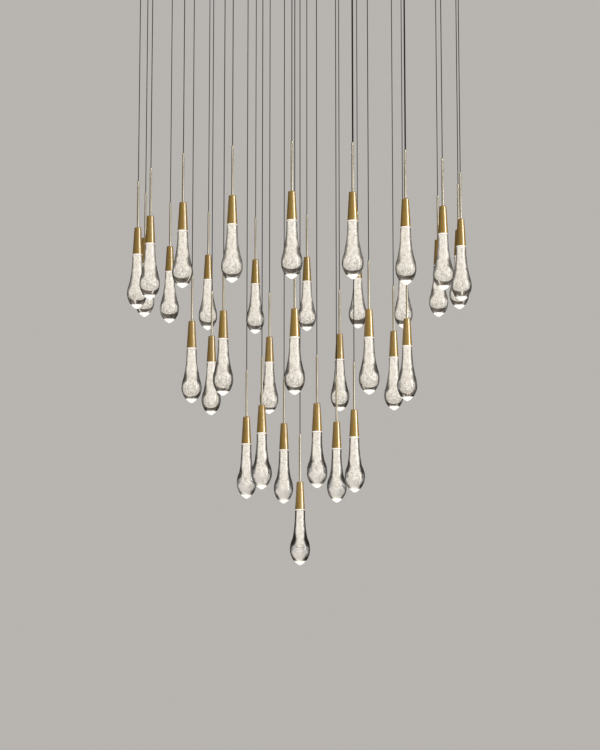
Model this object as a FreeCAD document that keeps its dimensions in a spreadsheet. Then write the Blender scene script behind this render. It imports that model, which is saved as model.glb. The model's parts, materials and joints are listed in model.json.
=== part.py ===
import FreeCAD, Part
import Sketcher
import math
import os

# Crystal chandelier: glass drops on thin cables, in three rings and a centre, under a round ceiling canopy.
# Millimetres, +Z up. The origin is the centre of the ceiling plate's top face, which lies on the ceiling.
# Angles go round from the front (-Y) towards the right (+X).

doc = FreeCAD.newDocument("crystal_chandelier")
sizes = doc.addObject("Spreadsheet::Sheet", "Sizes")

CANOPY_SIZES = {
    "canopy_diameter": 1220,
    "canopy_depth": 60,
    "pan_thickness": 1.5,
    "pan_corner_radius": 6,
    "plate_diameter": 1212,
    "plate_thickness": 3,
    "bolt_circle_radius": 500,
    "bolt_count": 8,
    "bolt_turn": 22.5,
    "bolt_hole_diameter": 11,
    "supply_hole_diameter": 40,
    "supply_bore_diameter": 16,
    "grommet_flange_diameter": 56,
    "grommet_flange_height": 4,
    "stud_circle_radius": 480,
    "stud_count": 6,
    "stud_turn": 30,
    "stud_diameter": 8,
    "stud_hole_diameter": 9,
    "stud_end": 8,
    "dome_nut_diameter": 17,
    "dome_nut_length": 14,
    "dome_nut_corner_radius": 5,
    "thread_gap": 0.1,
}

GRIP_SIZES = {
    "grip_flange_diameter": 18,
    "grip_flange_height": 3,
    "grip_tip_diameter": 7,
    "grip_skirt_diameter": 12,
    "grip_length": 18,
    "grip_shank_diameter": 10,
    "grip_shank_length": 10,
    "grip_hole_diameter": 10.4,
    "grip_nut_flats": 15,
    "grip_nut_height": 4,
}

WIRING_SIZES = {
    "driver_length": 160,
    "driver_width": 60,
    "driver_height": 30,
    "driver_tab": 18,
    "driver_tab_thickness": 3,
    "driver_corner_radius": 4,
    "screw_diameter": 4,
    "screw_head_diameter": 8,
    "screw_head_height": 3,
    "driver_1_radius": 480,
    "driver_1_angle": 180,
    "driver_2_radius": 290,
    "driver_2_angle": 60,
    "driver_3_radius": 290,
    "driver_3_angle": 300,
    "loom_diameter": 7,
    "loom_height": 10,
    "lead_diameter": 2.5,
    "terminal_length": 60,
    "terminal_width": 22,
    "terminal_height": 18,
    "terminal_ways": 5,
    "terminal_hole_diameter": 5,
    "terminal_distance": 95,
    "earth_distance": 90,
    "earth_stud_diameter": 6,
    "earth_stud_length": 22,
    "earth_nut_flats": 10,
    "earth_nut_height": 5,
}

PENDANT_SIZES = {
    "cable_diameter": 3,
    "cable_end_gap": 0.5,
    "stem_length": 167,
    "stem_diameter": 7.5,
    "stem_bore": 4,
    "stem_insert": 12,
    "stem_crimp": 14,
    "stem_edge": 1,
    "cone_length": 96,
    "cone_top_diameter": 23.5,
    "cone_base_diameter": 34.5,
    "cone_edge_radius": 3,
    "cone_cavity_diameter": 29,
    "cone_cavity_depth": 34,
    "led_slug_diameter": 28.6,
    "led_slug_height": 22,
    "led_lens_diameter": 18,
    "led_lens_height": 2,
    "light_ring_diameter": 35.5,
    "light_ring_thickness": 4,
    "spigot_diameter": 28,
    "spigot_height": 6,
    "glass_length": 190,
    "neck_diameter": 35,
    "bulb_diameter": 72,
    "bulb_height": 54,
    "bulb_under_arc_radius": 60,
    "bulb_upper_arc_radius": 80,
    "smooth_shoulder_arc_radius": 100,
    "smooth_neck_arc_radius": 450,
    "necked_shoulder_arc_radius": 40,
    "necked_neck_arc_radius": 550,
}

# The drop is from the ceiling down to the top of the cones, and the turn the angle of the first pendant.
TIER_SIZES = {
    "tier_1_count": 18,
    "tier_1_radius": 576,
    "tier_1_drop": 1137,
    "tier_1_turn": 0,
    "tier_2_count": 9,
    "tier_2_radius": 383,
    "tier_2_drop": 1482,
    "tier_2_turn": 0,
    "tier_3_count": 6,
    "tier_3_radius": 194,
    "tier_3_drop": 1799,
    "tier_3_turn": 20,
    "bottom_drop": 2044,
}

# Two points closer than this are the same point.
SAME_PLACE = 0.001

# The cables were cut and hung by hand, so each pendant hangs a little above or below its tier's drop.
TRIMS = {
    1: [-3, 1, -1, 8, 3, 8, 12, -6, 11, 8, -7, -7, -4, -11, -16, -16, -5, -7],
    2: [-12, -1, 3, 0, 17, 8, -14, 0, -2],
    3: [10, 5, -18, -19, -11, 9],
}


def fill_sheet():
    rows = {**CANOPY_SIZES, **GRIP_SIZES, **WIRING_SIZES, **PENDANT_SIZES, **TIER_SIZES}
    for tier, trims in TRIMS.items():
        for n, trim in enumerate(trims, 1):
            rows[f"tier_{tier}_trim_{n:02d}"] = trim
    for row, (name, number) in enumerate(rows.items(), 1):
        sizes.set(f"A{row}", name)
        sizes.set(f"B{row}", str(number))
        sizes.setAlias(f"B{row}", name)
    doc.recompute()


def value(expression):
    """The number that an expression on the sheet stands for."""
    return float(sizes.evalExpression(str(expression)))


fill_sheet()
TIER_COUNTS = {tier: int(value(f"Sizes.tier_{tier}_count")) for tier in TRIMS}


# Sketches and features


def new_body(name, x="0", y="0", height="0"):
    body = doc.addObject("PartDesign::Body", name)
    body.Label = name
    place(body, x, y, height)
    return body


def place(item, x="0", y="0", height="0"):
    item.setExpression(".Placement.Base.x", x)
    item.setExpression(".Placement.Base.y", y)
    item.setExpression(".Placement.Base.z", height)


def origin_part(body, role):
    return next(part for part in body.Origin.OriginFeatures if part.Role == role)


def new_sketch(body, name, plane="XY_Plane"):
    sketch = body.newObject("Sketcher::SketchObject", name)
    sketch.AttachmentSupport = [(origin_part(body, plane), "")]
    sketch.MapMode = "FlatFace"
    return sketch


def bind(sketch, constraint, expression):
    """A constraint whose size follows the sheet."""
    index = sketch.addConstraint(constraint)
    sketch.setExpression(f"Constraints[{index}]", expression)


def pin_point(sketch, edge, end, x, y):
    """Holds a point of the sketch at x and y, on the axes where they are 0."""
    if x == "0" and y == "0":
        sketch.addConstraint(Sketcher.Constraint("Coincident", edge, end, -1, 1))
        return
    if x == "0":
        sketch.addConstraint(Sketcher.Constraint("PointOnObject", edge, end, -2))
    else:
        bind(sketch, Sketcher.Constraint("DistanceX", -1, 1, edge, end, value(x)), x)
    if y == "0":
        sketch.addConstraint(Sketcher.Constraint("PointOnObject", edge, end, -1))
    else:
        bind(sketch, Sketcher.Constraint("DistanceY", -1, 1, edge, end, value(y)), y)


def outline(body, name, corners, plane="XZ_Plane"):
    """A closed outline of straight lines through corners, each an x and a y from the sheet."""
    sketch = new_sketch(body, name, plane)
    points = [FreeCAD.Vector(value(x), value(y), 0) for x, y in corners]
    count = len(points)
    for n in range(count):
        sketch.addGeometry(Part.LineSegment(points[n], points[(n + 1) % count]), False)
    for n in range(count):
        following = (n + 1) % count
        sketch.addConstraint(Sketcher.Constraint("Coincident", n, 2, following, 1))
    for n, (x, y) in enumerate(corners):
        pin_point(sketch, n, 1, x, y)
    return sketch


def circles(body, name, rounds):
    """Circles on the floor of a body, each a diameter, x and y from the sheet; x and y aren't below 0."""
    sketch = new_sketch(body, name)
    for n, (diameter, x, y) in enumerate(rounds):
        middle = FreeCAD.Vector(value(x), value(y), 0)
        circle = Part.Circle(middle, FreeCAD.Vector(0, 0, 1), value(diameter) / 2)
        sketch.addGeometry(circle, False)
        bind(sketch, Sketcher.Constraint("Diameter", n, value(diameter)), diameter)
        pin_point(sketch, n, 3, x, y)
    return sketch


def turned(body, name, corners):
    """A turned piece: the outline taken round the body's Z axis."""
    return turn_sketch(body, name, outline(body, name + "_outline", corners))


def turn_sketch(body, name, sketch):
    feature = body.newObject("PartDesign::Revolution", name)
    feature.Profile = sketch
    feature.ReferenceAxis = (sketch, ["V_Axis"])
    feature.Angle = 360
    doc.recompute()
    return feature


def padded(body, name, sketch, height):
    feature = body.newObject("PartDesign::Pad", name)
    feature.Profile = sketch
    feature.setExpression("Length", height)
    doc.recompute()
    return feature


def cut_through(body, name, sketch):
    """Cuts the sketch up through everything above it, and makes sure that it did cut."""
    before = body.Shape.Volume
    feature = body.newObject("PartDesign::Pocket", name)
    feature.Profile = sketch
    feature.Type = "ThroughAll"
    feature.Reversed = True
    doc.recompute()
    if not body.Shape.Volume < before:
        raise RuntimeError(f"{name} cuts nothing")
    return feature


def repeated_round(body, feature, count):
    """The feature again at even angles round the body's Z axis."""
    pattern = body.newObject("PartDesign::PolarPattern", feature.Name + "_round")
    pattern.Originals = [feature]
    pattern.Axis = (origin_part(body, "Z_Axis"), [""])
    pattern.Angle = 360
    pattern.setExpression("Occurrences", count)
    body.Tip = pattern
    doc.recompute()
    return pattern


def rounded_rim(body, feature, name, radius, height):
    """Rounds the widest of the feature's circular rims that lie at one height."""
    rims = []
    for n, edge in enumerate(feature.Shape.Edges, 1):
        box = edge.BoundBox
        flat = box.ZLength < SAME_PLACE
        if flat and abs(box.ZMin - value(height)) < SAME_PLACE and edge.Closed:
            rims.append((box.XLength, f"Edge{n}"))
    widest = max(rims)[1]
    fillet = body.newObject("PartDesign::Fillet", name)
    fillet.Base = (feature, [widest])
    fillet.setExpression("Radius", radius)
    doc.recompute()
    return fillet


def group(name, pieces, **where):
    """Separate solids that share one node, or copies of pieces at another place."""
    compound = doc.addObject("Part::Compound", name)
    compound.Label = name
    compound.Links = pieces
    place(compound, **where)
    return compound


def ring_x(radius, angle):
    return f"{radius} * sin(({angle}) * 1deg)"


def ring_y(radius, angle):
    return f"-{radius} * cos(({angle}) * 1deg)"


def tier_places(tier):
    """The x, y and trim of each of a tier's pendants."""
    for n in range(TIER_COUNTS[tier]):
        angle = f"Sizes.tier_{tier}_turn + {n} * 360 / Sizes.tier_{tier}_count"
        radius = f"Sizes.tier_{tier}_radius"
        yield ring_x(radius, angle), ring_y(radius, angle), f"Sizes.tier_{tier}_trim_{n + 1:02d}"


def all_places():
    for tier in TIER_COUNTS:
        for x, y, _ in tier_places(tier):
            yield x, y
    yield "0", "0"


# Ceiling plate: a sheet steel disc that lies flat on the ceiling


def make_ceiling_plate():
    body = new_body("ceiling_plate", height="-Sizes.plate_thickness")
    disc = circles(body, "plate_disc", [("Sizes.plate_diameter", "0", "0")])
    padded(body, "plate_pad", disc, "Sizes.plate_thickness")
    supply = circles(body, "supply_hole", [("Sizes.supply_hole_diameter", "0", "0")])
    cut_through(body, "supply_cut", supply)
    bolt_x = "Sizes.bolt_circle_radius * sin(Sizes.bolt_turn * 1deg)"
    bolt_y = "Sizes.bolt_circle_radius * cos(Sizes.bolt_turn * 1deg)"
    bolt = circles(body, "bolt_hole", [("Sizes.bolt_hole_diameter", bolt_x, bolt_y)])
    repeated_round(body, cut_through(body, "bolt_cut", bolt), "Sizes.bolt_count")
    return body


# Grommet: a rubber bush in the plate's middle hole, which the supply cable comes through


def make_supply_grommet():
    body = new_body("supply_grommet", height="-Sizes.plate_thickness - Sizes.grommet_flange_height")
    top = "Sizes.grommet_flange_height + Sizes.plate_thickness"
    corners = [
        ("Sizes.supply_bore_diameter / 2", "0"),
        ("Sizes.grommet_flange_diameter / 2", "0"),
        ("Sizes.grommet_flange_diameter / 2", "Sizes.grommet_flange_height"),
        ("Sizes.supply_hole_diameter / 2 - Sizes.thread_gap", "Sizes.grommet_flange_height"),
        ("Sizes.supply_hole_diameter / 2 - Sizes.thread_gap", top),
        ("Sizes.supply_bore_diameter / 2", top),
    ]
    turned(body, "grommet_turn", corners)
    return body


# Canopy pan: a spun sheet metal pan whose rim meets the ceiling round the plate


def make_canopy_pan():
    body = new_body("canopy_pan", height="-Sizes.canopy_depth")
    outside = "Sizes.canopy_diameter / 2"
    inside = "Sizes.canopy_diameter / 2 - Sizes.pan_thickness"
    corners = [
        ("0", "0"),
        (outside, "0"),
        (outside, "Sizes.canopy_depth"),
        (inside, "Sizes.canopy_depth"),
        (inside, "Sizes.pan_thickness"),
        ("0", "Sizes.pan_thickness"),
    ]
    shell = turned(body, "pan_turn", corners)
    corner = rounded_rim(body, shell, "pan_corner", "Sizes.pan_corner_radius", "0")
    inner = "Sizes.pan_corner_radius - Sizes.pan_thickness"
    rounded_rim(body, corner, "pan_inner_corner", inner, "Sizes.pan_thickness")
    stud_x = "Sizes.stud_circle_radius * sin(Sizes.stud_turn * 1deg)"
    stud_y = "Sizes.stud_circle_radius * cos(Sizes.stud_turn * 1deg)"
    stud = circles(body, "stud_hole", [("Sizes.stud_hole_diameter", stud_x, stud_y)])
    repeated_round(body, cut_through(body, "stud_cut", stud), "Sizes.stud_count")
    centre = circles(body, "bottom_grip_hole", [("Sizes.grip_hole_diameter", "0", "0")])
    cut_through(body, "bottom_grip_cut", centre)
    for tier in TIER_COUNTS:
        # The first hole is where x and y aren't below 0, and the ring's copies reach the front.
        start = f"180 - 360 / Sizes.tier_{tier}_count * {half_turn_steps(tier)} - Sizes.tier_{tier}_turn"
        x = f"Sizes.tier_{tier}_radius * sin(({start}) * 1deg)"
        y = f"Sizes.tier_{tier}_radius * cos(({start}) * 1deg)"
        hole = circles(body, f"tier_{tier}_grip_hole", [("Sizes.grip_hole_diameter", x, y)])
        cut = cut_through(body, f"tier_{tier}_grip_cut", hole)
        repeated_round(body, cut, f"Sizes.tier_{tier}_count")
    return body


def half_turn_steps(tier):
    """How many whole steps of the tier's ring lie between its first pendant and the back."""
    return int((180 - value(f"Sizes.tier_{tier}_turn")) * TIER_COUNTS[tier] // 360)


# Studs welded under the plate, and the dome nuts that hold the pan up on them


def stud_places():
    for n in range(int(value("Sizes.stud_count"))):
        angle = f"Sizes.stud_turn + {n} * 360 / Sizes.stud_count"
        yield ring_x("Sizes.stud_circle_radius", angle), ring_y("Sizes.stud_circle_radius", angle)


def make_canopy_studs():
    studs = []
    for n, (x, y) in enumerate(stud_places(), 1):
        stud = doc.addObject("Part::Cylinder", f"stud_{n}")
        stud.setExpression("Radius", "Sizes.stud_diameter / 2")
        stud.setExpression("Height", "Sizes.canopy_depth + Sizes.stud_end - Sizes.plate_thickness")
        place(stud, x, y, "-Sizes.canopy_depth - Sizes.stud_end")
        studs.append(stud)
    return group("canopy_studs", studs)


def make_dome_nuts():
    nut = new_body("dome_nut", height="-Sizes.canopy_depth - Sizes.dome_nut_length")
    bore = "Sizes.stud_diameter / 2 + Sizes.thread_gap"
    bore_end = "Sizes.dome_nut_length - Sizes.stud_end"
    corners = [
        ("0", "0"),
        ("Sizes.dome_nut_diameter / 2", "0"),
        ("Sizes.dome_nut_diameter / 2", "Sizes.dome_nut_length"),
        (bore, "Sizes.dome_nut_length"),
        (bore, bore_end),
        ("0", bore_end),
    ]
    blank = turned(nut, "dome_nut_turn", corners)
    rounded_rim(nut, blank, "dome_nut_round", "Sizes.dome_nut_corner_radius", "0")
    nuts = []
    for n, (x, y) in enumerate(stud_places(), 1):
        nuts.append(group(f"dome_nut_{n}", [nut], x=x, y=y))
    return group("canopy_dome_nuts", nuts)


# Cable grips: turned brass bushings that clamp the cables, each held in the pan by a lock nut


def make_cable_grips():
    grip = new_body("cable_grip", height="-Sizes.canopy_depth - Sizes.grip_length")
    flange_foot = "Sizes.grip_length - Sizes.grip_flange_height"
    corners = [
        ("0", "0"),
        ("Sizes.grip_tip_diameter / 2", "0"),
        ("Sizes.grip_skirt_diameter / 2", flange_foot),
        ("Sizes.grip_flange_diameter / 2", flange_foot),
        ("Sizes.grip_flange_diameter / 2", "Sizes.grip_length"),
        ("Sizes.grip_shank_diameter / 2", "Sizes.grip_length"),
        ("Sizes.grip_shank_diameter / 2", "Sizes.grip_length + Sizes.grip_shank_length"),
        ("0", "Sizes.grip_length + Sizes.grip_shank_length"),
    ]
    turned(grip, "cable_grip_turn", corners)
    return copies("cable_grips", grip)


def make_grip_nuts():
    nut = new_body("grip_nut", height="Sizes.pan_thickness - Sizes.canopy_depth")
    sketch = hexagon(nut, "grip_nut_outline", "Sizes.grip_nut_flats")
    padded(nut, "grip_nut_pad", sketch, "Sizes.grip_nut_height")
    bore = circles(nut, "grip_nut_bore", [("Sizes.grip_shank_diameter + Sizes.thread_gap", "0", "0")])
    cut_through(nut, "grip_nut_cut", bore)
    return copies("grip_nuts", nut)


def hexagon(body, name, flats):
    """A hexagon round the origin, measured across its flats, drawn with its corners on one circle."""
    sketch = new_sketch(body, name)
    corner_radius = value(flats) / math.sqrt(3)
    points = []
    for n in range(6):
        angle = math.radians(60 * n)
        points.append(FreeCAD.Vector(math.cos(angle), math.sin(angle), 0) * corner_radius)
    for n in range(6):
        sketch.addGeometry(Part.LineSegment(points[n], points[(n + 1) % 6]), False)
    circle = Part.Circle(FreeCAD.Vector(0, 0, 0), FreeCAD.Vector(0, 0, 1), corner_radius)
    sketch.addGeometry(circle, True)
    for n in range(6):
        sketch.addConstraint(Sketcher.Constraint("Coincident", n, 2, (n + 1) % 6, 1))
        sketch.addConstraint(Sketcher.Constraint("PointOnObject", n, 1, 6))
    for n in range(1, 6):
        sketch.addConstraint(Sketcher.Constraint("Equal", 0, n))
    sketch.addConstraint(Sketcher.Constraint("Coincident", 6, 3, -1, 1))
    sketch.addConstraint(Sketcher.Constraint("PointOnObject", 0, 1, -1))
    bind(sketch, Sketcher.Constraint("Radius", 6, corner_radius), f"{flats} / sqrt(3)")
    return sketch


def copies(name, pattern):
    """One copy of a piece above each pendant."""
    made = []
    for n, (x, y) in enumerate(all_places(), 1):
        made.append(group(f"{pattern.Name}_{n:02d}", [pattern], x=x, y=y))
    return group(name, made)


# Wiring: a driver for each loom, a terminal block and an earth stud, all under the plate


def make_driver(number):
    """A flat metal box with a screw tab at each end, under the plate with its length along the ring."""
    body = doc.addObject("PartDesign::Body", f"led_driver_{number}")
    body.Label = f"led_driver_{number}"
    half = "Sizes.driver_length / 2"
    full = f"({half} + Sizes.driver_tab)"
    side = "Sizes.driver_width / 2"
    tabs = rectangle(body, f"driver_{number}_tabs", full, side)
    padded(body, f"driver_{number}_tab_pad", tabs, "Sizes.driver_tab_thickness")
    case = rectangle(body, f"driver_{number}_case", half, side)
    pad = padded(body, f"driver_{number}_case_pad", case, "Sizes.driver_height")
    radius = f"Sizes.driver_{number}_radius"
    angle = f"Sizes.driver_{number}_angle"
    lid = value("Sizes.driver_height") - SAME_PLACE
    edges = [f"Edge{n}" for n, edge in enumerate(pad.Shape.Edges, 1) if edge.BoundBox.ZMin > lid]
    fillet = body.newObject("PartDesign::Fillet", f"driver_{number}_edges")
    fillet.Base = (pad, edges)
    fillet.setExpression("Radius", "Sizes.driver_corner_radius")
    doc.recompute()
    hole_x = f"{half} + Sizes.driver_tab / 2"
    hole_diameter = "Sizes.screw_diameter + 2 * Sizes.thread_gap"
    hole = circles(body, f"driver_{number}_hole", [(hole_diameter, hole_x, "0")])
    cut = cut_through(body, f"driver_{number}_cut", hole)
    repeated_round(body, cut, "2")
    hang(body, ring_x(radius, angle), ring_y(radius, angle), angle)
    return body


def hang(item, x, y, angle):
    """Turns a piece upside down under the plate, its X axis along the ring there."""
    place(item, x, y, "-Sizes.plate_thickness")
    turn = FreeCAD.Rotation(FreeCAD.Vector(0, 0, 1), value(angle))
    item.Placement.Rotation = turn * FreeCAD.Rotation(FreeCAD.Vector(1, 0, 0), 180)


def rectangle(body, name, half_length, half_width):
    """A rectangle round the origin."""
    sketch = new_sketch(body, name)
    length = value(half_length)
    width = value(half_width)
    corners = [(-length, -width), (length, -width), (length, width), (-length, width)]
    points = [FreeCAD.Vector(x, y, 0) for x, y in corners]
    for n in range(4):
        sketch.addGeometry(Part.LineSegment(points[n], points[(n + 1) % 4]), False)
        sketch.addConstraint(Sketcher.Constraint("Horizontal" if n % 2 == 0 else "Vertical", n))
    for n in range(4):
        sketch.addConstraint(Sketcher.Constraint("Coincident", n, 2, (n + 1) % 4, 1))
    sketch.addConstraint(Sketcher.Constraint("Symmetric", 0, 1, 2, 1, -1, 1))
    bind(sketch, Sketcher.Constraint("DistanceX", -1, 1, 2, 1, length), half_length)
    bind(sketch, Sketcher.Constraint("DistanceY", -1, 1, 2, 1, width), half_width)
    return sketch


def make_driver_screws():
    """Two pan head screws for each driver, up through its tabs to the plate."""
    shank_top = "Sizes.screw_head_height + Sizes.driver_tab_thickness"
    screw = new_body("driver_screw", height=f"-Sizes.plate_thickness - ({shank_top})")
    corners = [
        ("0", "0"),
        ("Sizes.screw_head_diameter / 2", "0"),
        ("Sizes.screw_head_diameter / 2", "Sizes.screw_head_height"),
        ("Sizes.screw_diameter / 2", "Sizes.screw_head_height"),
        ("Sizes.screw_diameter / 2", shank_top),
        ("0", shank_top),
    ]
    head = turned(screw, "driver_screw_turn", corners)
    rounded_rim(screw, head, "driver_screw_round", "Sizes.screw_head_height / 2", "0")
    reach = "(Sizes.driver_length / 2 + Sizes.driver_tab / 2)"
    screws = []
    for number in (1, 2, 3):
        angle = f"Sizes.driver_{number}_angle * 1deg"
        radius = f"Sizes.driver_{number}_radius"
        for side, sign in (("left", "-"), ("right", "+")):
            x = f"{radius} * sin({angle}) {sign} {reach} * cos({angle})"
            y = f"-{radius} * cos({angle}) {sign} {reach} * sin({angle})"
            screws.append(group(f"driver_{number}_{side}_screw", [screw], x=x, y=y))
    return group("driver_screws", screws)


def make_terminal_block():
    """A plastic block with a row of wire ways through it, under the plate behind the centre."""
    body = new_body("terminal_block")
    sketch = rectangle(body, "terminal_outline", "Sizes.terminal_length / 2", "Sizes.terminal_width / 2")
    padded(body, "terminal_pad", sketch, "Sizes.terminal_height")
    before = body.Shape.Volume
    ways = new_sketch(body, "terminal_ways", "XZ_Plane")
    pitch = "Sizes.terminal_length / Sizes.terminal_ways"
    middle = "Sizes.terminal_height / 2"
    radius = value("Sizes.terminal_hole_diameter") / 2
    circle = Part.Circle(FreeCAD.Vector(0, value(middle), 0), FreeCAD.Vector(0, 0, 1), radius)
    ways.addGeometry(circle, False)
    bind(ways, Sketcher.Constraint("Diameter", 0, 2 * radius), "Sizes.terminal_hole_diameter")
    pin_point(ways, 0, 3, "0", middle)
    cut = body.newObject("PartDesign::Pocket", "terminal_way")
    cut.Profile = ways
    cut.Type = "ThroughAll"
    cut.Midplane = True
    doc.recompute()
    if not body.Shape.Volume < before:
        raise RuntimeError("the terminal ways cut nothing")
    for name, backwards in (("terminal_ways_right", False), ("terminal_ways_left", True)):
        pattern = body.newObject("PartDesign::LinearPattern", name)
        pattern.Originals = [cut]
        pattern.Direction = (origin_part(body, "X_Axis"), [""])
        pattern.Reversed = backwards
        pattern.setExpression("Length", f"{pitch} * (Sizes.terminal_ways - 1) / 2")
        pattern.setExpression("Occurrences", "(Sizes.terminal_ways + 1) / 2")
        body.Tip = pattern
        doc.recompute()
    hang(body, "0", "Sizes.terminal_distance", "0")
    return body


EARTH_STUD_FOOT = "-Sizes.plate_thickness - Sizes.earth_stud_length"


def make_earth_stud():
    """A threaded stud welded under the plate."""
    stud = doc.addObject("Part::Cylinder", "earth_stud")
    stud.Label = "earth_stud"
    stud.setExpression("Radius", "Sizes.earth_stud_diameter / 2")
    stud.setExpression("Height", "Sizes.earth_stud_length")
    place(stud, "-Sizes.earth_distance", "0", EARTH_STUD_FOOT)
    return stud


def make_earth_nut():
    nut = new_body("earth_nut", "-Sizes.earth_distance", "0", f"{EARTH_STUD_FOOT} + Sizes.earth_nut_height")
    sketch = hexagon(nut, "earth_nut_outline", "Sizes.earth_nut_flats")
    padded(nut, "earth_nut_pad", sketch, "Sizes.earth_nut_height")
    bore = circles(nut, "earth_nut_bore", [("Sizes.earth_stud_diameter + Sizes.thread_gap", "0", "0")])
    cut_through(nut, "earth_nut_cut", bore)
    return nut


# Looms: a ring of bundled leads over each ring of grips, with a tail up into the tier's driver


def rod(name, diameter, length, x, y, height, axis=None):
    """A straight round length that starts at x, y and height and runs up, or along a level direction."""
    piece = doc.addObject("Part::Cylinder", name)
    piece.setExpression("Radius", f"{diameter} / 2")
    piece.setExpression("Height", length)
    place(piece, x, y, height)
    if axis is not None:
        piece.Placement.Rotation = FreeCAD.Rotation(FreeCAD.Vector(0, 0, 1), axis)
    return piece


def loom_elbow(name, x, y, height):
    ball = doc.addObject("Part::Sphere", name)
    ball.setExpression("Radius", "Sizes.loom_diameter / 2")
    place(ball, x, y, height)
    return ball


def make_loom(tier, driver, inwards, reach_centre=False):
    height = "(Sizes.grip_shank_length + Sizes.loom_height - Sizes.canopy_depth)"
    lead_foot = "Sizes.grip_shank_length - Sizes.canopy_depth"
    ring_radius = f"Sizes.tier_{tier}_radius"
    ring = doc.addObject("Part::Torus", f"loom_{tier}_ring")
    ring.setExpression("Radius1", ring_radius)
    ring.setExpression("Radius2", "Sizes.loom_diameter / 2")
    place(ring, "0", "0", height)
    pieces = [ring]
    for n, (x, y, _) in enumerate(tier_places(tier), 1):
        lead = f"loom_{tier}_lead_{n}"
        pieces.append(rod(lead, "Sizes.lead_diameter", "Sizes.loom_height", x, y, lead_foot))
    angle = f"Sizes.driver_{driver}_angle"
    end_radius = f"(Sizes.driver_{driver}_radius)"
    out = math.radians(value(angle))
    outwards = FreeCAD.Vector(math.sin(out), -math.cos(out), 0)
    if inwards:
        run = f"{ring_radius} - {end_radius}"
        start = end_radius
    else:
        run = f"{end_radius} - {ring_radius}"
        start = ring_radius
    x = ring_x(start, angle)
    y = ring_y(start, angle)
    pieces.append(rod(f"loom_{tier}_tail", "Sizes.loom_diameter", run, x, y, height, outwards))
    end_x = ring_x(end_radius, angle)
    end_y = ring_y(end_radius, angle)
    pieces.append(loom_elbow(f"loom_{tier}_elbow", end_x, end_y, height))
    rise = f"-Sizes.plate_thickness - Sizes.driver_height - {height}"
    pieces.append(rod(f"loom_{tier}_rise", "Sizes.loom_diameter", rise, end_x, end_y, height))
    if reach_centre:
        across = rod("loom_centre_run", "Sizes.loom_diameter", ring_radius, "0", "0", height, outwards)
        pieces.append(across)
        pieces.append(loom_elbow("loom_centre_end", "0", "0", height))
        lead = "loom_centre_lead"
        pieces.append(rod(lead, "Sizes.lead_diameter", "Sizes.loom_height", "0", "0", lead_foot))
    fused = doc.addObject("Part::MultiFuse", f"tier_{tier}_loom")
    fused.Label = f"tier_{tier}_loom"
    fused.Shapes = pieces
    return fused


# Cables: each hangs plumb from its grip to just above the stem, pulled straight by its pendant


def cable(name, x, y, drop, trim):
    piece = doc.addObject("Part::Cylinder", name)
    foot = f"(-{drop} + {trim} + Sizes.stem_length + Sizes.cable_end_gap)"
    piece.setExpression("Radius", "Sizes.cable_diameter / 2")
    piece.setExpression("Height", f"-Sizes.canopy_depth - Sizes.grip_length - {foot}")
    place(piece, x, y, foot)
    return piece


def make_tier_cables(tier):
    cables = []
    for n, (x, y, trim) in enumerate(tier_places(tier), 1):
        cables.append(cable(f"tier_{tier}_cable_{n:02d}", x, y, f"Sizes.tier_{tier}_drop", trim))
    return group(f"tier_{tier}_cables", cables)


def make_bottom_cable():
    return group("bottom_cable", [cable("bottom_cable_run", "0", "0", "Sizes.bottom_drop", "0")])


# The bottom pendant, piece by piece. Heights are from the foot of its cone.

CONE_FOOT = "-Sizes.bottom_drop - Sizes.cone_length"


def make_stem():
    """A brass tube, closed where it is crimped on the cable, whose foot screws into the cone."""
    body = new_body("bottom_stem", height=f"{CONE_FOOT} + Sizes.cone_length - Sizes.stem_insert")
    top = "Sizes.stem_insert + Sizes.stem_length"
    bore_end = "Sizes.stem_insert + Sizes.stem_length - Sizes.stem_crimp"
    corners = [
        ("0", top),
        ("0", bore_end),
        ("Sizes.stem_bore / 2", bore_end),
        ("Sizes.stem_bore / 2", "0"),
        ("Sizes.stem_diameter / 2", "0"),
        ("Sizes.stem_diameter / 2", top),
    ]
    tube = turned(body, "stem_turn", corners)
    rounded_rim(body, tube, "stem_edge_round", "Sizes.stem_edge", top)
    return body


def make_cone():
    """A turned brass cap, hollow at its foot for the light source, bored at its top for the stem."""
    body = new_body("bottom_cone", height=CONE_FOOT)
    socket = "Sizes.stem_diameter / 2 + Sizes.thread_gap"
    socket_foot = "Sizes.cone_length - Sizes.stem_insert"
    corners = [
        ("Sizes.cone_cavity_diameter / 2", "0"),
        ("Sizes.cone_base_diameter / 2", "0"),
        ("Sizes.cone_top_diameter / 2", "Sizes.cone_length"),
        (socket, "Sizes.cone_length"),
        (socket, socket_foot),
        ("Sizes.stem_bore / 2", socket_foot),
        ("Sizes.stem_bore / 2", "Sizes.cone_cavity_depth"),
        ("Sizes.cone_cavity_diameter / 2", "Sizes.cone_cavity_depth"),
    ]
    blank = turned(body, "cone_turn", corners)
    rounded_rim(body, blank, "cone_edge_round", "Sizes.cone_edge_radius", "Sizes.cone_length")
    return body


def make_led_module():
    """An aluminium slug that carries the light source and its lens, and sits on the glass's spigot."""
    body = new_body("bottom_led_module", height=f"{CONE_FOOT} + Sizes.spigot_height")
    top = "Sizes.led_lens_height + Sizes.led_slug_height"
    corners = [
        ("0", "0"),
        ("Sizes.led_lens_diameter / 2", "0"),
        ("Sizes.led_lens_diameter / 2", "Sizes.led_lens_height"),
        ("Sizes.led_slug_diameter / 2", "Sizes.led_lens_height"),
        ("Sizes.led_slug_diameter / 2", top),
        ("0", top),
    ]
    turned(body, "led_turn", corners)
    return body


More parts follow.
